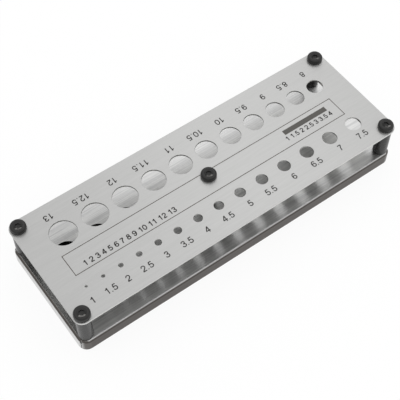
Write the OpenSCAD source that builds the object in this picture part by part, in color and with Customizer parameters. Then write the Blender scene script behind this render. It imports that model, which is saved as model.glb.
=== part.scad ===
// Drill bit stand: two drilled sheet steel levels, held apart by five posts,
// that keep 25 drill bits upright, from 1 to 13 mm in steps of half a millimetre.
// X runs along the stand with the smallest hole at its left, Y runs to the back
// and Z runs up. The origin lies under the middle of the base.

/* [Plates] */
// Length of the top plate and of the tray, left to right
plate_length = 180; // [172:0.5:220]
// Width of the top plate and of the tray, front to back
plate_width = 61.7; // [58:0.1:80]
// Thickness of the sheet steel
sheet = 1; // [0.8:0.05:1.3]
// Radius of the upright corners
corner_radius = 4.35; // [2.5:0.05:5.1]

/* [Levels] */
// Height of the tray, outside
tray_height = 6.8; // [6.4:0.1:14]
// Inside radius of the fold from the tray's top to its walls
fold_inside_radius = 0.2; // [0.1:0.05:1]
// Clear height between the tray and the top plate
level_gap = 17; // [16.5:0.1:30]

/* [Front row] */
// Smallest bit in the front row
front_smallest = 1; // [1:0.5:3]
// Largest bit in the front row
front_largest = 7.5; // [5:0.5:7.5]
// Distance from the left end to the middle of the front row's smallest hole
front_start_inset = 13.16; // [11:0.01:20]
// Distance from the front edge to the middle of the front row
front_row_inset = 14.95; // [13:0.05:17]

/* [Back row] */
// Smallest bit in the back row
back_smallest = 8; // [8:0.5:10]
// Largest bit in the back row
back_largest = 13; // [10:0.5:13]
// Distance from the left end to the middle of the back row's largest hole
back_start_inset = 19.35; // [16:0.05:25]
// Distance from the back edge to the middle of the back row
back_row_inset = 18.05; // [16.5:0.05:19]

/* [Both rows] */
// Step from one bit size to the next
size_step = 0.5; // [0.5:0.5:1]
// Distance from the right end to the middle of each row's last hole
row_end_inset = 15.65; // [13:0.05:18]
// How much wider a hole is than its bit
bit_clearance = 0.3; // [0.2:0.05:0.6]

/* [Posts] */
// Diameter of a post
post_diameter = 7; // [6:0.1:8]
// Distance from a corner post's middle to the two edges beside it
post_inset = 4.35; // [4.2:0.05:7]
// Chamfer at both ends of a post
post_chamfer = 0.25; // [0.1:0.05:0.5]

/* [Screws] */
// Diameter of a screw's shank
screw_diameter = 4; // [3:0.1:4.4]
// Length of a screw under its head
screw_length = 8; // [5:0.5:9]
// Diameter of a top screw's head
head_diameter = 7.6; // [7:0.1:8.8]
// Clear space between a base screw's head and the fold of the tray round it
base_head_gap = 0.1; // [0.05:0.05:0.4]
// Height of a screw's head
head_height = 2.6; // [2.2:0.1:3]
// Rounding of a head's outer edge
head_rounding = 1.3; // [0.8:0.05:1.5]
// Width of the hexagon socket across its flats
socket_width = 2.5; // [2:0.1:3]
// Depth of the hexagon socket
socket_depth = 2; // [1.2:0.1:2.1]

/* [Pad] */
// Room between the pad that closes the tray and the heads of the base screws
pad_clearance = 1; // [0.3:0.1:1.8]
// How far the pad stands out below the tray's rim
pad_proud = 0.3; // [0.1:0.05:0.8]

/* [Hidden] */
$fn = 96;

// How much wider a hole in the sheet is than the screw that passes it
screw_hole_clearance = 0.5;
// How much wider a tapped hole in a post is than the screw in it
thread_clearance = 0.1;
// Chamfer at the tip of a screw
tip_chamfer = 0.4;
// Number of sides of the socket in a screw's head
socket_sides = 6;
// Gap between the tray's end wall and the wall that wraps round the corner
seam_gap = 0.3;
// Distance from the tray's long sides to that gap
seam_inset = 2.5;
// Radius of the relief hole punched at the top of the gap
relief_radius = 0.55;
// How far a cut runs past the face that it opens
overrun = 1;

tray_bottom = pad_proud;
tray_top = tray_bottom + tray_height;
plate_bottom = tray_top + level_gap;
plate_top = plate_bottom + sheet;
pad_top = tray_top - sheet - head_height - pad_clearance;
fold_radius = fold_inside_radius + sheet;

// A base screw has the top screw's head where the tray's corners leave room for it
base_head_diameter = min(head_diameter, 2 * (post_inset - fold_radius - base_head_gap));

row_end = plate_length / 2 - row_end_inset;
front_row_y = front_row_inset - plate_width / 2;
back_row_y = plate_width / 2 - back_row_inset;

// Bit sizes of each row, from the right end of the stand to its left end
front_bits = [for (bit = [front_largest : -size_step : front_smallest]) bit];
back_bits = [for (bit = [back_smallest : size_step : back_largest]) bit];

post_x = plate_length / 2 - post_inset;
post_y = plate_width / 2 - post_inset;
front_left = [-post_x, -post_y];
front_right = [post_x, -post_y];
rear_left = [-post_x, post_y];
rear_right = [post_x, post_y];
centre = [0, 0];
post_places = [front_left, front_right, rear_left, rear_right, centre];

// Distance from a row's right end to its hole number k if neighbouring bits touched
function bits_span(bits, k) =
    k == 0 ? 0 : bits_span(bits, k - 1) + (bits[k - 1] + bits[k]) / 2;

// Steel left between two neighbouring bits, so that the row's last hole keeps its inset
function row_web(bits, start_inset) =
    let (steps = len(bits) - 1)
    (plate_length - start_inset - row_end_inset - bits_span(bits, steps)) / steps;

// Place along X of hole number k of a row, counted from the right
function hole_x(bits, web, k) = row_end - bits_span(bits, k) - k * web;

// Flat rectangle with round corners
module rounded_outline(length, width, radius) {
    square([length - 2 * radius, width], center = true);
    square([length, width - 2 * radius], center = true);
    for (x = [-1, 1], y = [-1, 1])
        translate([x * (length / 2 - radius), y * (width / 2 - radius)])
            circle(radius);
}

// Section from the middle of a corner outwards, with its upper edge rounded
module fold_section(depth, height, fold) {
    square([depth - fold, height]);
    square([depth, height - fold]);
    translate([depth - fold, height - fold])
        intersection() {
            circle(fold);
            square(fold);
        }
}

// Solid box with round upright corners and a rounded upper edge all round
module folded_box(length, width, height, radius, fold) {
    side_length = length - 2 * radius;
    side_width = width - 2 * radius;
    translate([-side_length / 2, -side_width / 2, 0])
        cube([side_length, side_width, height]);
    for (end = [0, 180]) rotate(end) {
        translate([side_length / 2, side_width / 2, 0])
            rotate([90, 0, 0])
                linear_extrude(side_width) fold_section(radius, height, fold);
        translate([-side_length / 2, side_width / 2, 0])
            rotate([90, 0, 90])
                linear_extrude(side_length) fold_section(radius, height, fold);
        translate([side_length / 2, side_width / 2, 0])
            rotate_extrude(angle = 90) fold_section(radius, height, fold);
        translate([-side_length / 2, side_width / 2, 0])
            rotate(90)
                rotate_extrude(angle = 90) fold_section(radius, height, fold);
    }
}

// One row of holes, cut down from z = 0
module hole_row(bits, start_inset, y, depth) {
    web = row_web(bits, start_inset);
    for (k = [0 : len(bits) - 1])
        translate([hole_x(bits, web, k), y, -depth])
            cylinder(d = bits[k] + bit_clearance, h = depth);
}

// All holes that pass through one level, for the bits and for the screws
module level_holes(top) {
    cut = sheet + 2 * overrun;
    translate([0, 0, top + overrun]) {
        hole_row(front_bits, front_start_inset, front_row_y, cut);
        hole_row(back_bits, back_start_inset, back_row_y, cut);
        for (place = post_places)
            translate([place.x, place.y, -cut])
                cylinder(d = screw_diameter + screw_hole_clearance, h = cut);
    }
}

// Gap and relief hole beside each end wall of the tray
module corner_seams() {
    seam_y = plate_width / 2 - seam_inset;
    from_corner = seam_inset - corner_radius;
    reach = sqrt(corner_radius * corner_radius - from_corner * from_corner);
    seam_x = plate_length / 2 - corner_radius + reach;
    for (x = [-1, 1], y = [-1, 1])
        translate([x * seam_x, y * seam_y, tray_bottom - overrun]) {
            translate([-sheet - overrun, -seam_gap / 2, 0])
                cube([sheet * 2 + overrun * 2, seam_gap, tray_height + overrun - fold_radius]);
            translate([0, 0, tray_height + overrun - fold_radius - relief_radius])
                cylinder(r = relief_radius, h = fold_radius + relief_radius + overrun);
        }
}

module top_plate() {
    color("#c4c4c2")
        difference() {
            translate([0, 0, plate_bottom])
                linear_extrude(sheet) rounded_outline(plate_length, plate_width, corner_radius);
            level_holes(plate_top);
        }
}

module base_tray() {
    inner_length = plate_length - 2 * sheet;
    inner_width = plate_width - 2 * sheet;
    inner_height = tray_height - sheet + overrun;
    color("#8b8a88")
        difference() {
            translate([0, 0, tray_bottom])
                folded_box(plate_length, plate_width, tray_height, corner_radius, fold_radius);
            translate([0, 0, tray_bottom - overrun])
                folded_box(inner_length, inner_width, inner_height,
                           corner_radius - sheet, fold_inside_radius);
            level_holes(tray_top);
            corner_seams();
        }
}

module base_pad() {
    color("#1b1b1b")
        linear_extrude(pad_top)
            rounded_outline(plate_length - 2 * sheet, plate_width - 2 * sheet, corner_radius - sheet);
}

// Round post, tapped right through, that stands on the tray at one place
module post(place) {
    bore_radius = (screw_diameter + thread_clearance) / 2;
    outer = post_diameter / 2;
    color("#2b2b2b")
        translate([place.x, place.y, tray_top])
            rotate_extrude()
                polygon([
                    [bore_radius, 0],
                    [outer - post_chamfer, 0],
                    [outer, post_chamfer],
                    [outer, level_gap - post_chamfer],
                    [outer - post_chamfer, level_gap],
                    [bore_radius, level_gap]
                ]);
}

// Socket-head screw that hangs from z = 0, with its domed head above
module screw(diameter_of_head) {
    shank = screw_diameter / 2;
    color("#242424")
        difference() {
            rotate_extrude() {
                polygon([
                    [0, -screw_length],
                    [shank - tip_chamfer, -screw_length],
                    [shank, tip_chamfer - screw_length],
                    [shank, 0],
                    [0, 0]
                ]);
                fold_section(diameter_of_head / 2, head_height, head_rounding);
            }
            translate([0, 0, head_height - socket_depth])
                cylinder(d = socket_width / cos(180 / socket_sides),
                         h = socket_depth + overrun, $fn = socket_sides);
        }
}

// Screw that clamps the top plate to a post
module top_screw(place) {
    translate([place.x, place.y, plate_top]) screw(head_diameter);
}

// Screw that holds a post to the tray, from underneath
module base_screw(place) {
    translate([place.x, place.y, tray_top - sheet])
        mirror([0, 0, 1]) screw(base_head_diameter);
}

top_plate();
base_tray();
base_pad();
post(front_left);  // post_front_left
post(front_right);  // post_front_right
post(rear_left);  // post_rear_left
post(rear_right);  // post_rear_right
post(centre);  // post_centre
top_screw(front_left);  // top_screw_front_left
top_screw(front_right);  // top_screw_front_right
top_screw(rear_left);  // top_screw_rear_left
top_screw(rear_right);  // top_screw_rear_right
top_screw(centre);  // top_screw_centre
base_screw(front_left);  // base_screw_front_left
base_screw(front_right);  // base_screw_front_right
base_screw(rear_left);  // base_screw_rear_left
base_screw(rear_right);  // base_screw_rear_right
base_screw(centre);  // base_screw_centre
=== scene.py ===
# %% [markdown]
# # A drill bit stand in brushed steel
#
# The stand is two levels of drilled stainless sheet, held apart by five black posts. The CAD
# model already has every piece at its real size, and it is the frame of this scene: a piece goes
# where the CAD says, and Blender adds what the CAD leaves out. That is the eased edges of the
# sheet, the countersinks in the screws, the sizes etched beside the holes, and the finishes.
#
# All lengths are in metres, because the CAD model is. Drawings of such a stand give millimetres,
# so one helper turns them into metres.

# %% Load the CAD model
import math

import bmesh
import bpy
from mathutils import Matrix, Vector


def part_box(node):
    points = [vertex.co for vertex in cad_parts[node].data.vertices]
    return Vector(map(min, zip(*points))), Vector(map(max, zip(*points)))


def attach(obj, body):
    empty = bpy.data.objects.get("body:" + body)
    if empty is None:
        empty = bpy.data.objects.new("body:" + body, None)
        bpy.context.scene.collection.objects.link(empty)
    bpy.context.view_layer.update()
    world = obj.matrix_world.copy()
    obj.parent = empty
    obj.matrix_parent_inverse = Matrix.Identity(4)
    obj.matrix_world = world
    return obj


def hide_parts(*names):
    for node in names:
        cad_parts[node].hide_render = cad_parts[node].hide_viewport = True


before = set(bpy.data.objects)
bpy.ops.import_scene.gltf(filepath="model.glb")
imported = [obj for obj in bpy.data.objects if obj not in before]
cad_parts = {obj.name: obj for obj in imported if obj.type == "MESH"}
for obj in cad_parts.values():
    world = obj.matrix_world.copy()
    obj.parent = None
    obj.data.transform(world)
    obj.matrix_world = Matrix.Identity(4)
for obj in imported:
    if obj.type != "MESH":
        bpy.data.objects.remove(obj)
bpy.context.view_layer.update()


def mm(length):
    """A length in millimetres, in Blender's metres."""
    return length * 0.001


plate_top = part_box("top_plate")[1].z
print("CAD nodes:", len(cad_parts), "- top of the plate at", round(plate_top / mm(1), 2), "mm")

# %% [markdown]
# ## The camera
#
# A camera that repeats a photograph needs the photograph's direction, distance and lens. They
# were solved outside Blender from the plate's edges and its 25 holes. The camera is built from
# those numbers: it looks at a point on the plate, from an azimuth, an elevation and a distance,
# and is rolled a little about its own line of sight. The lens follows from the focal length in
# pixels, because the sensor's 36 mm cover the 400 pixels of the image's width.

# %% Camera
CAMERA_TARGET = Vector((mm(-11.18), mm(-8.58), plate_top))
CAMERA_DISTANCE = mm(444.85)
CAMERA_AZIMUTH = math.radians(-36.637)
CAMERA_ELEVATION = math.radians(56.236)
CAMERA_ROLL = math.radians(0.687)
FOCAL_PIXELS = 979.4
IMAGE_PIXELS = 400
SENSOR_MM = 36

lens = bpy.data.cameras.new("camera")
lens.sensor_width = SENSOR_MM
lens.lens = SENSOR_MM * FOCAL_PIXELS / IMAGE_PIXELS
camera = bpy.data.objects.new("camera", lens)
bpy.context.scene.collection.objects.link(camera)
aim = (Matrix.Rotation(CAMERA_AZIMUTH, 3, "Z")
       @ Matrix.Rotation(math.pi / 2 - CAMERA_ELEVATION, 3, "X")
       @ Matrix.Rotation(CAMERA_ROLL, 3, "Z"))
camera.location = CAMERA_TARGET + aim @ Vector((0, 0, CAMERA_DISTANCE))
camera.rotation_euler = aim.to_euler()
bpy.context.scene.camera = camera
print("lens", round(lens.lens, 1), "mm, camera at", [round(v, 3) for v in camera.location])

# %% [markdown]
# ## Light
#
# Metal shows what surrounds it, so the studio is part of the finish. A product like this is
# photographed in a white tent. A ring of lamps could imitate one, but the steel would mirror each
# lamp as a patch of its own. So the world is the tent: white overhead, and darker towards its
# foot, where the cloth gets less light. Steep surfaces mirror the foot, so they turn darker than
# level ones, and that is what gives the steel its shape.
#
# Two softboxes join it. One hangs behind the stand, where the camera sees it mirrored in the
# middle of the plate, and makes a broad highlight there. One stands low at the right and draws
# the light edges of the posts.

# %% Colour values and a node helper


def linear(hex_colour):
    """An sRGB colour such as #c6c6c4 as the linear RGBA that Blender's sockets take."""
    channels = [int(hex_colour[i:i + 2], 16) / 255 for i in (1, 3, 5)]
    return [c / 12.92 if c <= 0.04045 else ((c + 0.055) / 1.055) ** 2.4 for c in channels] + [1]


def add_node(tree, kind, values=None, links=None, **settings):
    """Adds a node: values fill its sockets, links join them to other outputs."""
    node = tree.nodes.new(kind)
    for name, setting in settings.items():
        setattr(node, name, setting)
    for socket, value in (values or {}).items():
        node.inputs[socket].default_value = value
    for socket, source in (links or {}).items():
        tree.links.new(source, node.inputs[socket])
    return node


WHITE = linear("#ffffff")
print("middle grey #808080 is", round(linear("#808080")[0], 3), "in linear light")

# %% White tent
TENT_FOOT, TENT_TOP = 0.35, 1.06
# The height of a direction, from 0 level to 1 straight up, at which the tent has its full white
TOP_BEGINS = 0.65

scene = bpy.context.scene
scene.view_settings.view_transform = "Standard"
tent = bpy.data.worlds.new("white_tent")
tent.use_nodes = True
tree = tent.node_tree
sky = add_node(tree, "ShaderNodeTexCoord")
height = add_node(tree, "ShaderNodeSeparateXYZ", links={"Vector": sky.outputs["Generated"]})
fall = add_node(tree, "ShaderNodeMapRange",
                {"From Min": 0.0, "From Max": TOP_BEGINS, "To Min": TENT_FOOT, "To Max": TENT_TOP},
                {"Value": height.outputs["Z"]})
seen_by = add_node(tree, "ShaderNodeLightPath")
white_to_camera = add_node(tree, "ShaderNodeMath",
                           links={0: fall.outputs["Result"], 1: seen_by.outputs["Is Camera Ray"]},
                           operation="MAXIMUM")
background = tree.nodes["Background"]
background.inputs["Color"].default_value = WHITE
tree.links.new(white_to_camera.outputs["Value"], background.inputs["Strength"])
scene.world = tent
print("tent:", TENT_FOOT, "at its foot,", TENT_TOP, "at its top")

# %% Softboxes


def softbox(name, direction, distance, size, energy):
    """A square soft lamp that looks at the stand from a direction."""
    lamp = bpy.data.lights.new(name, "AREA")
    lamp.shape = "SQUARE"
    lamp.size = size
    lamp.energy = energy
    box = bpy.data.objects.new(name, lamp)
    scene.collection.objects.link(box)
    aim = Vector(direction).normalized()
    box.location = aim * distance
    box.rotation_euler = aim.to_track_quat("Z", "Y").to_euler()
    print(name, "is", size, "m wide, and its middle is", round(box.location.z, 2), "m high")


softbox("back_softbox", (0.41, 0.43, 0.80), distance=0.9, size=0.36, energy=0.27)
softbox("right_softbox", (0.78, -0.55, 0.3), distance=0.9, size=0.5, energy=0.3)

# %% [markdown]
# ## White paper floor
#
# White paper lit by a tent comes out pale grey. More light would whiten it, and would wash out
# the stand as well. So its white is helped by a glow that only the camera and reflections see. It
# lights nothing, and the stand keeps its shadow on the paper. For the same reason the world is
# plain white where the camera looks straight at it, and keeps its shading for all other rays.

# %% White paper
FLOOR_GLOW = 0.9


def new_material(name):
    """An empty node material and its output node."""
    material = bpy.data.materials.new(name)
    material.use_nodes = True
    material.node_tree.nodes.clear()
    return material, material.node_tree.nodes.new("ShaderNodeOutputMaterial")


white_paper, out = new_material("white_paper_floor")
tree = white_paper.node_tree
paper = add_node(tree, "ShaderNodeBsdfDiffuse", {"Color": WHITE})
glow = add_node(tree, "ShaderNodeEmission", {"Color": WHITE, "Strength": 1.0})
ray = add_node(tree, "ShaderNodeLightPath")
mirrored = add_node(tree, "ShaderNodeMath",
                    links={0: ray.outputs["Is Glossy Ray"], 1: ray.outputs["Is Transmission Ray"]},
                    operation="ADD")
seen = add_node(tree, "ShaderNodeMath",
                links={0: ray.outputs["Is Camera Ray"], 1: mirrored.outputs["Value"]},
                operation="ADD", use_clamp=True)
share = add_node(tree, "ShaderNodeMath", {1: FLOOR_GLOW}, {0: seen.outputs["Value"]},
                 operation="MULTIPLY")
lit_paper = add_node(tree, "ShaderNodeMixShader",
                     links={0: share.outputs["Value"], 1: paper.outputs["BSDF"],
                            2: glow.outputs["Emission"]})
tree.links.new(lit_paper.outputs["Shader"], out.inputs["Surface"])
print("paper:", FLOOR_GLOW, "of what the camera sees of it is glow")

# %% Floor
FLOOR_SIZE = 6.0
floor_bm = bmesh.new()
bmesh.ops.create_grid(floor_bm, x_segments=1, y_segments=1, size=FLOOR_SIZE / 2)
floor_mesh = bpy.data.meshes.new("floor")
floor_bm.to_mesh(floor_mesh)
floor_bm.free()
floor_mesh.materials.append(white_paper)
floor = bpy.data.objects.new("floor", floor_mesh)
scene.collection.objects.link(floor)
print("floor:", FLOOR_SIZE, "m wide")

# %% [markdown]
# ## Brushed stainless steel
#
# Both levels are austenitic stainless sheet. The mill brushes it with an abrasive belt that runs
# along the sheet, here along X, which leaves long fine scratches. They do three things to the
# eye. They scatter light across the grain far more than along it, so a mirror image stays sharp
# along X and smears along Y: that is the anisotropy. They differ a little in depth and tone, so
# faint streaks run along the sheet. And they catch light at a low angle: that is the bump.
#
# A picture of brushed steel could be laid on the sheet, but it would repeat, and it would have to
# be unfolded round every bend. A noise stretched along X draws streaks that never repeat, at
# a size in millimetres. Real scratches are some hundredths of a millimetre apart, too fine to
# show, so the pattern has one layer of streaks 0.3 to 0.5 mm wide, and one of streaks five times
# as wide and three times as long. A long streak tilts the surface very little along X, so it
# keeps images sharp. The sheet is brushed before it is folded, so the grain runs over each bend.
# Down the tray's two end walls it runs along Z: there the pattern's X and Z change places.

# %% Streaks along the grain
# How far along X a surface has to face to be an end wall
END_WALL_LEAN = 0.7
COARSE_WIDTH, COARSE_LENGTH = 5, 3
COARSE_SHARE = 0.4


def streak_layer(tree, place, length_mm, width_mm, detail, roughness):
    """A noise stretched to streaks of one length and width."""
    stretched = add_node(tree, "ShaderNodeMapping",
                         {"Scale": (1 / mm(length_mm), 1 / mm(width_mm), 1 / mm(width_mm))},
                         {"Vector": place})
    noise = add_node(tree, "ShaderNodeTexNoise",
                     {"Scale": 1, "Detail": detail, "Roughness": roughness},
                     {"Vector": stretched.outputs["Vector"]})
    return noise.outputs["Fac"]


def grain_streaks(tree, to_end, streak_mm, streak_length_mm):
    """The streaks of a brushed sheet: the fine layer alone, and mixed with the coarse one."""
    place = add_node(tree, "ShaderNodeTexCoord")
    level = add_node(tree, "ShaderNodeSeparateXYZ", links={"Vector": place.outputs["Object"]})
    folded = add_node(tree, "ShaderNodeCombineXYZ",
                      links={"X": level.outputs["Z"], "Y": level.outputs["Y"],
                             "Z": level.outputs["X"]})
    on_end_wall = add_node(tree, "ShaderNodeMath", {1: END_WALL_LEAN}, {0: to_end},
                           operation="GREATER_THAN")
    along_sheet = add_node(tree, "ShaderNodeMix",
                           links={"Factor": on_end_wall.outputs["Value"],
                                  "A": place.outputs["Object"], "B": folded.outputs["Vector"]},
                           data_type="VECTOR")
    sheet = along_sheet.outputs["Result"]
    fine = streak_layer(tree, sheet, streak_length_mm, streak_mm, detail=3, roughness=0.65)
    coarse = streak_layer(tree, sheet, streak_length_mm * COARSE_LENGTH, streak_mm * COARSE_WIDTH,
                          detail=2, roughness=0.5)
    both = add_node(tree, "ShaderNodeMix", {"Factor": COARSE_SHARE}, {"A": fine, "B": coarse},
                    data_type="FLOAT")
    return fine, both.outputs["Result"]


# %% [markdown]
# ### Painted light and shade on steep faces
#
# Steep faces take a tone of their own, which is painted light and shade. On the tray's long walls
# and on the bends of its two ends it is a brown grey painted shade, which stands for the darker
# surroundings that the steel would mirror there. On the plate's cut edges and the sides of its
# punched holes it is a pale painted light.
#
# Each wall could be a separate material, but its tone has to fade in over the bend. The direction
# in which the surface faces does that by itself: each range below says at which part of the
# normal the tone starts, and at which it is full.

# %% Painted light and shade on steep faces
LONG_WALL = {"From Min": 0.4, "From Max": 0.75}
END_SLOPE = {"From Min": 0.05, "From Max": 0.2}
ABOVE_END_WALL = {"From Min": 0.25, "From Max": 0.5}


def painted_wall_shading(tree, normal, to_end):
    """Where the painted light and shade go: 1 on the long walls and on the bends of the two ends,
    0 on level metal.
    """
    to_front = add_node(tree, "ShaderNodeMath", links={0: normal.outputs["Y"]},
                        operation="ABSOLUTE")
    wall = add_node(tree, "ShaderNodeMapRange", LONG_WALL, {"Value": to_front.outputs["Value"]})
    slope = add_node(tree, "ShaderNodeMapRange", END_SLOPE, {"Value": to_end})
    above_wall = add_node(tree, "ShaderNodeMapRange", ABOVE_END_WALL,
                          {"Value": normal.outputs["Z"]})
    end_bend = add_node(tree, "ShaderNodeMath",
                        links={0: slope.outputs["Result"], 1: above_wall.outputs["Result"]},
                        operation="MULTIPLY")
    formed = add_node(tree, "ShaderNodeMath",
                      links={0: wall.outputs["Result"], 1: end_bend.outputs["Value"]},
                      operation="MAXIMUM")
    return formed.outputs["Value"]


# %% [markdown]
# ### The finish
#
# The streaks set the tone and vary the gloss a little, and the fine layer also lifts the surface.
# A noise keeps mostly between 0.3 and 0.7, so that range is spread over the tones.
#
# The shader wants the direction across the grain: Y on level metal and Z on the long walls. It
# flattens the direction onto the surface, so one that leans a little from Y towards Z is right
# for both.
#
# The top plate was brushed coarsely and is close to matt. Only its show side went under the belt.
# The underside keeps the smooth, glossier skin that the rolling mill gave it, and nobody sees it
# but the tray, which mirrors it. Its tone is lighter than the show side's, and that is a painted
# light: it lifts the shaded gap between the two levels. The tray was brushed more lightly and is
# glossier: through the gap it shows the row of holes above it as light bars.

# %% Brushed steel finish
NOISE_RANGE = {"From Min": 0.3, "From Max": 0.7}
STEEL_GLOSS_SPREAD = 0.07
SCRATCH_HEIGHT = mm(0.02)
LEAN_TO_Z = 0.02


def brushed_steel(name, tone, dark_tone, painted_wall_tone, roughness, anisotropy, streak_mm,
                  streak_length_mm, contrast, scratch_depth):
    """Stainless sheet brushed along X, with painted light and shade in a tone of its own on its
    steep faces.
    """
    material, out = new_material(name)
    tree = material.node_tree
    geometry = add_node(tree, "ShaderNodeNewGeometry")
    normal = add_node(tree, "ShaderNodeSeparateXYZ", links={"Vector": geometry.outputs["Normal"]})
    to_end = add_node(tree, "ShaderNodeMath", links={0: normal.outputs["X"]},
                      operation="ABSOLUTE").outputs["Value"]
    fine, streaks = grain_streaks(tree, to_end, streak_mm, streak_length_mm)

    tone_of_streak = add_node(tree, "ShaderNodeMapRange",
                              {**NOISE_RANGE, "To Min": 0.5 - contrast, "To Max": 0.5 + contrast},
                              {"Value": streaks})
    level_colour = add_node(tree, "ShaderNodeMix", {"A": linear(dark_tone), "B": linear(tone)},
                            {"Factor": tone_of_streak.outputs["Result"]}, data_type="RGBA")
    # Steep faces take the painted wall tone: painted shade on the tray's walls, painted light on
    # the plate's cut edges.
    sheet_colour = add_node(tree, "ShaderNodeMix", {"B": linear(painted_wall_tone)},
                            {"Factor": painted_wall_shading(tree, normal, to_end),
                             "A": level_colour.outputs["Result"]},
                            data_type="RGBA")

    gloss = add_node(tree, "ShaderNodeMapRange",
                     {**NOISE_RANGE, "To Min": roughness * (1 - STEEL_GLOSS_SPREAD),
                      "To Max": roughness * (1 + STEEL_GLOSS_SPREAD)},
                     {"Value": streaks})
    scratches = add_node(tree, "ShaderNodeBump",
                         {"Strength": scratch_depth, "Distance": SCRATCH_HEIGHT},
                         {"Height": fine})
    across_grain = add_node(tree, "ShaderNodeCombineXYZ", {"X": 0.0, "Y": 1.0, "Z": LEAN_TO_Z})
    steel = add_node(tree, "ShaderNodeBsdfPrincipled",
                     {"Metallic": 1.0, "Anisotropic": anisotropy},
                     {"Base Color": sheet_colour.outputs["Result"],
                      "Roughness": gloss.outputs["Result"],
                      "Normal": scratches.outputs["Normal"],
                      "Tangent": across_grain.outputs["Vector"]})
    tree.links.new(steel.outputs["BSDF"], out.inputs["Surface"])
    print(name, "has", len(tree.nodes), "nodes")
    return material


# %% The three steels
# The wall tones are painted: a painted light on the plate's cut edges, a painted shade on the
# tray's walls.
plate_steel = brushed_steel(
    "brushed_stainless_plate", tone="#bfbfbe", dark_tone="#b6b6b5", painted_wall_tone="#d4d4d2",
    roughness=0.42, anisotropy=0.6, streak_mm=0.3, streak_length_mm=9, contrast=0.6,
    scratch_depth=0.2)
# The underside's light tone is a painted light that lifts the shaded gap under the plate. Its
# smoother gloss is the mill finish.
underside_steel = brushed_steel(
    "mill_finish_underside_painted_light", tone="#d8d8d6", dark_tone="#cececc", painted_wall_tone="#d4d4d2",
    roughness=0.22, anisotropy=0.3, streak_mm=0.4, streak_length_mm=14, contrast=0.3,
    scratch_depth=0.1)
tray_steel = brushed_steel(
    "brushed_stainless_tray", tone="#d6d6d5", dark_tone="#bababa", painted_wall_tone="#595552",
    roughness=0.295, anisotropy=0.9, streak_mm=0.5, streak_length_mm=24, contrast=0.9,
    scratch_depth=0.2)

# %% [markdown]
# ## Black posts, screws and pad
#
# The posts are turned from aluminium bar and anodised black. The dye leaves a dark skin with a
# satin gloss, and the lathe leaves rings finer than the eye can part, which only soften the
# highlight. The screws are steel with a black oxide, darker and a little duller. The pad is sheet
# rubber, nearly without gloss.
#
# One flat colour would look like plastic film. Real skins are a little uneven, so a noise varies
# the gloss and lifts the surface by some thousandths of a millimetre. The real grain is mostly
# finer than a tenth of a millimetre and wouldn't show, so it is drawn at 0.2 to 0.6 mm.

# %% Black finishes
SKIN_GLOSS_SPREAD = 0.15
SKIN_BUMP = 0.3


def uneven_skin(name, tone, roughness, grain_mm, bump_mm, metallic=0.0):
    """A skin of one tone whose gloss and surface are a little uneven."""
    material, out = new_material(name)
    tree = material.node_tree
    place = add_node(tree, "ShaderNodeTexCoord")
    grain = add_node(tree, "ShaderNodeTexNoise",
                     {"Scale": 1 / mm(grain_mm), "Detail": 3, "Roughness": 0.6},
                     {"Vector": place.outputs["Object"]})
    gloss = add_node(tree, "ShaderNodeMapRange",
                     {**NOISE_RANGE, "To Min": roughness * (1 - SKIN_GLOSS_SPREAD),
                      "To Max": roughness * (1 + SKIN_GLOSS_SPREAD)},
                     {"Value": grain.outputs["Fac"]})
    skin = add_node(tree, "ShaderNodeBump", {"Strength": SKIN_BUMP, "Distance": mm(bump_mm)},
                    {"Height": grain.outputs["Fac"]})
    shader = add_node(tree, "ShaderNodeBsdfPrincipled",
                      {"Base Color": linear(tone), "Metallic": metallic},
                      {"Roughness": gloss.outputs["Result"], "Normal": skin.outputs["Normal"]})
    tree.links.new(shader.outputs["BSDF"], out.inputs["Surface"])
    print(name, "is", tone)
    return material


post_black = uneven_skin("black_anodised_aluminium", "#1c1c1b", roughness=0.28, grain_mm=0.5,
                         bump_mm=0.01)
screw_black = uneven_skin("black_oxide_steel", "#121110", roughness=0.4, grain_mm=0.4,
                          bump_mm=0.01)
pad_rubber = uneven_skin("black_sheet_rubber", "#161616", roughness=0.8, grain_mm=0.6,
                         bump_mm=0.05)

# %% [markdown]
# ## Finishes on the CAD pieces
#
# Most CAD pieces already have their real form: the tray, the pad, the posts and the screws under
# them. They keep their meshes and only get a finish. The plate and the five top screws get one as
# well, and are replaced by finer ones in the steps below.

# %% Dress the CAD nodes
FINISH_OF = {"top_plate": plate_steel, "base_tray": tray_steel, "base_pad": pad_rubber,
             "post": post_black, "top_screw": screw_black, "base_screw": screw_black}
for node_name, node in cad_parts.items():
    kind = next(kind for kind in FINISH_OF if node_name.startswith(kind))
    node.data.materials.clear()
    node.data.materials.append(FINISH_OF[kind])
print("dressed", len(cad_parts), "CAD nodes")

# %% [markdown]
# ## Sheet with eased edges
#
# A punched sheet has burrs, so a maker breaks every edge by about a tenth of a millimetre. That
# narrow slope catches the light and draws the thin bright line round the plate and its holes.
#
# The CAD plate has knife edges. A bevel node in the material could round them in the light only,
# but a visible edge is better as real geometry. So a copy of the CAD mesh gets its loose triangles
# merged, the edges that turn by more than 30 degrees are picked, and one bevel eases them all. The
# faces that look down then get the smoother finish of the underside, whose lighter tone is a
# painted light.

# %% Finished pieces
CREASE = math.radians(25)
SECOND_FINISH = 1


def finish_piece(bm, name, finish):
    """Turns a bmesh into a finished piece of the stand that rides on the root body."""
    mesh = bpy.data.meshes.new(name)
    bm.to_mesh(mesh)
    bm.free()
    mesh.materials.append(finish)
    if "custom_normal" in mesh.attributes:
        mesh.attributes.remove(mesh.attributes["custom_normal"])
    mesh.shade_smooth()
    mesh.set_sharp_from_angle(angle=CREASE)
    piece = bpy.data.objects.new(name, mesh)
    scene.collection.objects.link(piece)
    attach(piece, "root")
    print(name, "has", len(mesh.polygons), "faces")
    return piece


# %% Ease the edges
MERGE_DISTANCE = mm(0.001)
SHARP_TURN = math.radians(30)
EASE = mm(0.1)
FACES_DOWN = -0.9

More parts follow.
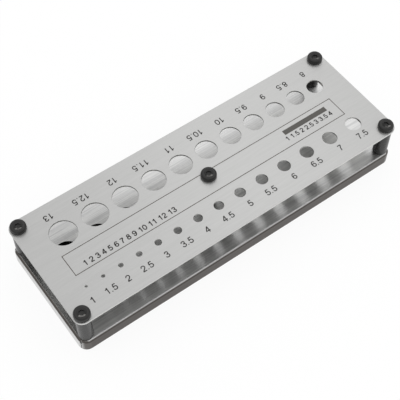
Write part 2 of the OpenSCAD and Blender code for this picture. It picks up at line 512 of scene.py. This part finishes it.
plate = bmesh.new()
plate.from_mesh(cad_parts["top_plate"].data)
bmesh.ops.remove_doubles(plate, verts=plate.verts, dist=MERGE_DISTANCE)
knife_edges = [edge for edge in plate.edges
               if edge.is_manifold and edge.calc_face_angle() > SHARP_TURN]
bmesh.ops.bevel(plate, geom=knife_edges, offset=EASE, offset_type="OFFSET", segments=1,
                profile=0.5, affect="EDGES", material=-1, clamp_overlap=True)
# Down-facing faces take the underside finish, whose lighter tone is a painted light.
for face in plate.faces:
    if face.normal.z < FACES_DOWN:
        face.material_index = SECOND_FINISH
eased_plate = finish_piece(plate, "eased_top_plate", plate_steel)
eased_plate.data.materials.append(underside_steel)
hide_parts("top_plate")

# %% [markdown]
# ## Low-head screws
#
# The screws have a low domed head with a hexagon socket, as a button head has. The CAD has the
# head and the socket. A real socket is pressed into a countersink, so a wide slope runs from the
# flat top to the hexagon, and a shallow drill point ends it.
#
# Cutting the socket with a Boolean would leave long thin triangles that shade badly, so the screw
# is built up instead. The outside is a profile that a full spin turns round the screw's axis, and
# one bevel domes the head. A hexagon whose sides are divided into as many points as the round top
# has lets bridge_loops join the two. Where a cone meets a hexagon its edge dips at each flat, so
# each point is lowered by how far it lies inside the cone. A hexagon's corners lie at the
# distance over its flats, divided by the root of three.

# %% The turned outside of a screw
HEAD_RADIUS, HEAD_HEIGHT, HEAD_ROUNDING = mm(3.8), mm(2.6), mm(1.3)
SHANK_RADIUS, SHANK_LENGTH, TIP_CHAMFER = mm(2), mm(8), mm(0.4)
COUNTERSINK_RADIUS = mm(2.3)
ROUND_STEPS = 72
DOME_STEPS = 10
print("screw head", round(HEAD_RADIUS * 2 / mm(1), 1), "mm across")


def radius_of(point):
    """Distance of a point from the Z axis."""
    return math.hypot(point.x, point.y)


def turned_screw():
    """The outside of a low-head screw whose head stands on z = 0, open at its top."""
    bm = bmesh.new()
    profile = [(0, -SHANK_LENGTH), (SHANK_RADIUS - TIP_CHAMFER, -SHANK_LENGTH),
               (SHANK_RADIUS, TIP_CHAMFER - SHANK_LENGTH), (SHANK_RADIUS, 0),
               (HEAD_RADIUS, 0), (HEAD_RADIUS, HEAD_HEIGHT), (COUNTERSINK_RADIUS, HEAD_HEIGHT)]
    points = [bm.verts.new((r, 0, z)) for r, z in profile]
    for first, second in zip(points, points[1:]):
        bm.edges.new((first, second))
    bmesh.ops.spin(bm, geom=bm.verts[:] + bm.edges[:], cent=(0, 0, 0), axis=(0, 0, 1),
                   angle=math.tau, steps=ROUND_STEPS, use_merge=True)
    bmesh.ops.remove_doubles(bm, verts=bm.verts, dist=MERGE_DISTANCE)
    shoulder = [edge for edge in bm.edges
                if all(abs(radius_of(vert.co) - HEAD_RADIUS) < MERGE_DISTANCE
                       and vert.co.z > HEAD_HEIGHT / 2 for vert in edge.verts)]
    bmesh.ops.bevel(bm, geom=shoulder, offset=HEAD_ROUNDING, segments=DOME_STEPS, profile=0.5,
                    affect="EDGES", material=-1)
    return bm


# %% The socket
SOCKET_FLATS, SOCKET_DEPTH = mm(2.5), mm(1.3)
COUNTERSINK_SLOPE = 0.6
DRILL_POINT = mm(0.4)
HEXAGON_CORNERS = 6
print("socket", round(SOCKET_FLATS / mm(1), 1), "mm over its flats")


def press_socket(bm):
    """Closes the open top of a screw with a countersink and a hexagon socket."""
    rim = [edge for edge in bm.edges if edge.is_boundary]
    bmesh.ops.create_circle(bm, segments=HEXAGON_CORNERS, radius=SOCKET_FLATS / math.sqrt(3))
    hexagon = [edge for edge in bm.edges if edge.is_wire]
    bmesh.ops.subdivide_edges(bm, edges=hexagon, cuts=ROUND_STEPS // HEXAGON_CORNERS - 1)
    lip = [edge for edge in bm.edges if edge.is_wire]
    for vert in {vert for edge in lip for vert in edge.verts}:
        vert.co.z = HEAD_HEIGHT - COUNTERSINK_SLOPE * (COUNTERSINK_RADIUS - radius_of(vert.co))
    bmesh.ops.bridge_loops(bm, edges=rim + lip)

    floor_z = HEAD_HEIGHT - SOCKET_DEPTH
    wall = bmesh.ops.extrude_edge_only(bm, edges=lip)["geom"]
    for vert in [item for item in wall if isinstance(item, bmesh.types.BMVert)]:
        vert.co.z = floor_z
    floor_edges = [item for item in wall if isinstance(item, bmesh.types.BMEdge)
                   and all(abs(vert.co.z - floor_z) < MERGE_DISTANCE for vert in item.verts)]
    socket_floor = bmesh.ops.edgeloop_fill(bm, edges=floor_edges)["faces"]
    point = bmesh.ops.poke(bm, faces=socket_floor)["verts"]
    bmesh.ops.translate(bm, verts=point, vec=(0, 0, -DRILL_POINT))
    bmesh.ops.recalc_face_normals(bm, faces=bm.faces)


# %% [markdown]
# ### Painted highlight round the socket
#
# The side of the slope round the socket that faces the front gets a painted highlight: a small
# light arc in the dark head, coloured as bare steel, where a lamp at the front would glint. A
# noise could scatter it, but it has one clear place, so the faces there get a finish of their own.
#
# Screws stop at different angles when they are tightened. Here a screw's angle follows from the
# length of its name, so every run of the script gives the same one.

# %% A screw in each corner and in the middle
HIGHLIGHT_SIDE = Vector((-0.4, -0.92, 0))
# How far towards that side the painted highlight begins, in radii of the countersink
HIGHLIGHT_FROM = 0.55
HIGHLIGHT_DEPTH = mm(0.6)
TURN_PER_LETTER = math.radians(17)
# A light metallic tone painted on the front of each socket's slope: a painted highlight.
socket_rim_painted_highlight = uneven_skin("painted_highlight_on_socket_rim", "#b9b7b4", roughness=0.35, grain_mm=0.3,
                         bump_mm=0.02, metallic=1.0)


def paint_highlight_on_socket_rim(bm):
    """Gives the front part of the slope round the socket the second finish, a painted highlight.
    """
    for face in bm.faces:
        middle = face.calc_center_median()
        on_slope = radius_of(middle) < COUNTERSINK_RADIUS and middle.z > HEAD_HEIGHT - HIGHLIGHT_DEPTH
        if on_slope and middle.dot(HIGHLIGHT_SIDE) > HIGHLIGHT_FROM * COUNTERSINK_RADIUS:
            face.material_index = SECOND_FINISH


for node_name in sorted(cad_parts):
    if node_name.startswith("top_screw"):
        low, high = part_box(node_name)
        screw = turned_screw()
        press_socket(screw)
        bmesh.ops.rotate(screw, verts=screw.verts, cent=(0, 0, 0),
                         matrix=Matrix.Rotation(TURN_PER_LETTER * len(node_name), 3, "Z"))
        paint_highlight_on_socket_rim(screw)
        bmesh.ops.translate(screw, verts=screw.verts,
                            vec=((low.x + high.x) / 2, (low.y + high.y) / 2, plate_top))
        piece = finish_piece(screw, "socket_" + node_name, screw_black)
        piece.data.materials.append(socket_rim_painted_highlight)
        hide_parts(node_name)

# %% [markdown]
# ## Etched sizes
#
# A laser darkens the steel and leaves flat dark figures, about 3.2 mm high. They have no real
# thickness, so here they are a skin of 0.02 mm that sits on the plate.
#
# A text object would write them in a ready-made font. Here each figure is drawn as a pen draws
# it, so that its form and its stroke can be matched: a curve runs down the middle of each stroke,
# and a flat nib swept along it gives the stroke its width. The points are in hundredths of the
# figure's height, and Blender's automatic handles round them off. The result becomes a mesh once
# per figure and is then copied to its places.
#
# The sizes beside the holes are drawn with a normal nib, and the two rows of plain numbers in the
# frame with a broad one.

# %% The strokes of the figures
FIGURE_UNITS = 100
FIGURE_ADVANCE = 78
POINT_ADVANCE = 39
STROKES_OF = {
    "0": [[(39, 94), (60, 80), (66, 50), (60, 20), (39, 6), (18, 20), (12, 50), (18, 80)]],
    "1": [[(46, 100), (46, 0)], [(45, 96), (34, 81), (17, 71)]],
    "2": [[(12, 70), (20, 88), (38, 94), (57, 87), (64, 71), (56, 52), (33, 30), (14, 8)],
          [(8, 6), (66, 6)]],
    "3": [[(13, 74), (21, 89), (37, 94), (54, 89), (60, 75), (53, 59), (33, 53)],
          [(33, 53), (55, 47), (65, 28), (57, 12), (38, 6), (20, 12), (11, 27)]],
    "4": [[(52, 100), (52, 0)], [(50, 96), (8, 31)], [(3, 29), (72, 29)]],
    "5": [[(22, 94), (63, 94)], [(23, 98), (15, 50)],
          [(14, 47), (24, 56), (40, 60), (58, 51), (65, 32), (57, 13), (38, 6), (20, 12),
           (11, 26)]],
    "6": [[(64, 76), (57, 89), (42, 94), (22, 82), (13, 50), (19, 18), (40, 6), (59, 14),
           (66, 32), (58, 51), (40, 58), (22, 50), (14, 34)]],
    "7": [[(8, 94), (66, 94)], [(64, 92), (44, 61), (33, 30), (28, 0)]],
    "8": [[(39, 94), (60, 75), (39, 54), (18, 75)], [(39, 54), (66, 30), (39, 6), (12, 30)]],
    ".": [[(18, 0), (18, 13)]],
}
# A nine is a six turned upside down
STROKES_OF["9"] = [[(FIGURE_ADVANCE - x, FIGURE_UNITS - y) for x, y in stroke]
                   for stroke in STROKES_OF["6"]]
CLOSED_FIGURES = "08"
print("figures:", len(STROKES_OF), "with", sum(len(s) for s in STROKES_OF.values()), "strokes")

# %% Draw the figures with a nib
FIGURE_HEIGHT = mm(3.2)
MARK_SKIN = mm(0.02)
NORMAL_NIB, BROAD_NIB = 15.5, 19
CURVE_STEPS = 6


def flat_nib(width):
    """The outline that is swept along each stroke: as wide as the stroke and very thin."""
    curve = bpy.data.curves.new("flat_nib", "CURVE")
    curve.dimensions = "2D"
    outline = curve.splines.new("POLY")
    half, skin = width / 2, MARK_SKIN / FIGURE_HEIGHT * FIGURE_UNITS
    corners = [(-half, 0), (half, 0), (half, skin), (-half, skin)]
    outline.points.add(len(corners) - 1)
    for point, (x, y) in zip(outline.points, corners):
        point.co = (x, y, 0, 1)
    outline.use_cyclic_u = True
    nib = bpy.data.objects.new("flat_nib", curve)
    scene.collection.objects.link(nib)
    return nib


def figure_mesh(character, nib):
    """One figure as a mesh, in hundredths of its height."""
    curve = bpy.data.curves.new("figure", "CURVE")
    curve.dimensions = "2D"
    curve.resolution_u = CURVE_STEPS
    curve.bevel_mode = "OBJECT"
    curve.bevel_object = nib
    curve.use_fill_caps = True
    for stroke in STROKES_OF[character]:
        spline = curve.splines.new("BEZIER")
        spline.bezier_points.add(len(stroke) - 1)
        for point, (x, y) in zip(spline.bezier_points, stroke):
            point.co = (x, y, 0)
            point.handle_left_type = point.handle_right_type = "AUTO"
        spline.use_cyclic_u = character in CLOSED_FIGURES
    drawing = bpy.data.objects.new("figure", curve)
    scene.collection.objects.link(drawing)
    depsgraph = bpy.context.evaluated_depsgraph_get()
    mesh = bpy.data.meshes.new_from_object(drawing.evaluated_get(depsgraph))
    bpy.data.objects.remove(drawing)
    return mesh


def draw_figures(width):
    """Every figure as a mesh, drawn with a nib of one width."""
    nib = flat_nib(width)
    figures = {character: figure_mesh(character, nib) for character in STROKES_OF}
    bpy.data.objects.remove(nib)
    return figures


FIGURES, BROAD_FIGURES = draw_figures(NORMAL_NIB), draw_figures(BROAD_NIB)
print("figures drawn:", "".join(sorted(FIGURES)))

# %% [markdown]
# ### Numbers on the plate
#
# Each size stands between its hole and the edge of the plate. The back row's sizes are turned
# round, so that they can be read from the back, and beside the larger holes they stand a little
# further out. All the figures join one mesh, because they are one pass of the laser.

# %% A line of figures


def advance_of(character):
    """How far the pen moves on after a character, in hundredths of the figure's height."""
    return POINT_ADVANCE if character in ". " else FIGURE_ADVANCE


def write(bm, text, centre, height, figures, turn=0.0):
    """Adds a line of figures whose middle lies at centre on the plate."""
    scale = height / FIGURE_UNITS
    pen = -sum(advance_of(character) for character in text) / 2
    place = (Matrix.Translation((centre[0], centre[1], plate_top))
             @ Matrix.Rotation(turn, 4, "Z") @ Matrix.Diagonal((scale, scale, scale, 1)))
    for character in text:
        if character in figures:
            start = len(bm.verts)
            bm.from_mesh(figures[character])
            bm.verts.ensure_lookup_table()
            to_pen = Matrix.Translation((pen, -FIGURE_UNITS / 2, 0))
            bmesh.ops.transform(bm, verts=bm.verts[start:], matrix=place @ to_pen)
        pen += advance_of(character)


# %% Write the sizes and the number rows
FRONT_MARKS_X = {"1": -78.2, "1.5": -68.9, "2": -60.0, "2.5": -50.2, "3": -39.7, "3.5": -28.9,
                 "4": -17.7, "4.5": -6.2, "5": 6.4, "5.5": 18.3, "6": 32.0, "6.5": 45.5,
                 "7": 60.1, "7.5": 73.7}
BACK_MARKS_X = {"13": -71.8, "12.5": -54.8, "12": -37.9, "11.5": -22.2, "11": -6.0, "10.5": 8.7,
                "10": 23.2, "9.5": 36.1, "9": 49.2, "8.5": 61.3, "8": 74.2}
FRONT_MARKS_Y = -23.3
BACK_MARKS_FIRST_Y, BACK_MARKS_LAST_Y = 23.6, 22.3
# The text, the middle in X and Y, and the height of each row in the frame
NUMBER_ROWS = [("1 2 3 4 5 6 7 8 9 10 11 12 13", -47.3, -5.95, 2.75),
               ("1 1.5 2 2.5 3 3.5 4", 56.35, -4.6, 2.5)]

etched_dark = uneven_skin("laser_darkened_steel", "#2e2c2a", roughness=0.6, grain_mm=0.2,
                          bump_mm=0.005)
marks = bmesh.new()
for size, x in FRONT_MARKS_X.items():
    write(marks, size, (mm(x), mm(FRONT_MARKS_Y)), FIGURE_HEIGHT, FIGURES)
for step, (size, x) in enumerate(BACK_MARKS_X.items()):
    drift = step / (len(BACK_MARKS_X) - 1)
    y = BACK_MARKS_FIRST_Y + drift * (BACK_MARKS_LAST_Y - BACK_MARKS_FIRST_Y)
    write(marks, size, (mm(x), mm(y)), FIGURE_HEIGHT, FIGURES, math.pi)
for row_text, x, y, height in NUMBER_ROWS:
    write(marks, row_text, (mm(x), mm(y)), mm(height), BROAD_FIGURES)
finish_piece(marks, "etched_sizes", etched_dark)

# %% [markdown]
# ## Engraved frame
#
# A fine line runs round the middle of the plate, and a dark bar fills a part of it. The line is
# much finer than a figure's stroke, and heat from the laser tints it brown. The bar is hatched
# line by line, so it stays paler than the figures.
#
# Four thin strips could make the frame, but they would overlap at its corners. It begins as one
# flat face instead. An inset cuts a narrow ring from it, the middle is deleted, and an extrude
# gives the ring its skin.

# %% Flat marks


def flat_panel(low, high):
    """A bmesh with one flat face on the plate: a square of side 1, spread to two corners."""
    bm = bmesh.new()
    middle = Vector(((low[0] + high[0]) / 2, (low[1] + high[1]) / 2, plate_top))
    spread = Matrix.Diagonal((high[0] - low[0], high[1] - low[1], 1, 1))
    bmesh.ops.create_grid(bm, x_segments=1, y_segments=1, size=0.5,
                          matrix=Matrix.Translation(middle) @ spread)
    return bm


def raise_skin(bm):
    """Lifts the faces of a bmesh by the thickness of a mark, with sides all round."""
    lifted = bmesh.ops.extrude_face_region(bm, geom=bm.faces[:])["geom"]
    bmesh.ops.translate(bm, verts=[v for v in lifted if isinstance(v, bmesh.types.BMVert)],
                        vec=(0, 0, MARK_SKIN))
    bmesh.ops.recalc_face_normals(bm, faces=bm.faces)
    return bm


# %% Frame line and bar
FRAME_LOW, FRAME_HIGH = (mm(-77.85), mm(-9.15)), (mm(75.15), mm(2.8))
BAR_LOW, BAR_HIGH = (mm(43.65), mm(-2.35)), (mm(69.55), mm(0.35))
LINE_WIDTH = mm(0.33)
engraved_brown = uneven_skin("laser_engraved_line", "#3e362d", roughness=0.6, grain_mm=0.2,
                             bump_mm=0.005)
bar_dark = uneven_skin("laser_hatched_steel", "#54524e", roughness=0.6, grain_mm=0.2,
                       bump_mm=0.005)

ring = flat_panel(FRAME_LOW, FRAME_HIGH)
inner_face = ring.faces[:]
bmesh.ops.inset_region(ring, faces=inner_face, thickness=LINE_WIDTH, use_boundary=True,
                       use_even_offset=True)
bmesh.ops.delete(ring, geom=inner_face, context="FACES")
finish_piece(raise_skin(ring), "engraved_frame", engraved_brown)
finish_piece(raise_skin(flat_panel(BAR_LOW, BAR_HIGH)), "etched_bar", bar_dark)
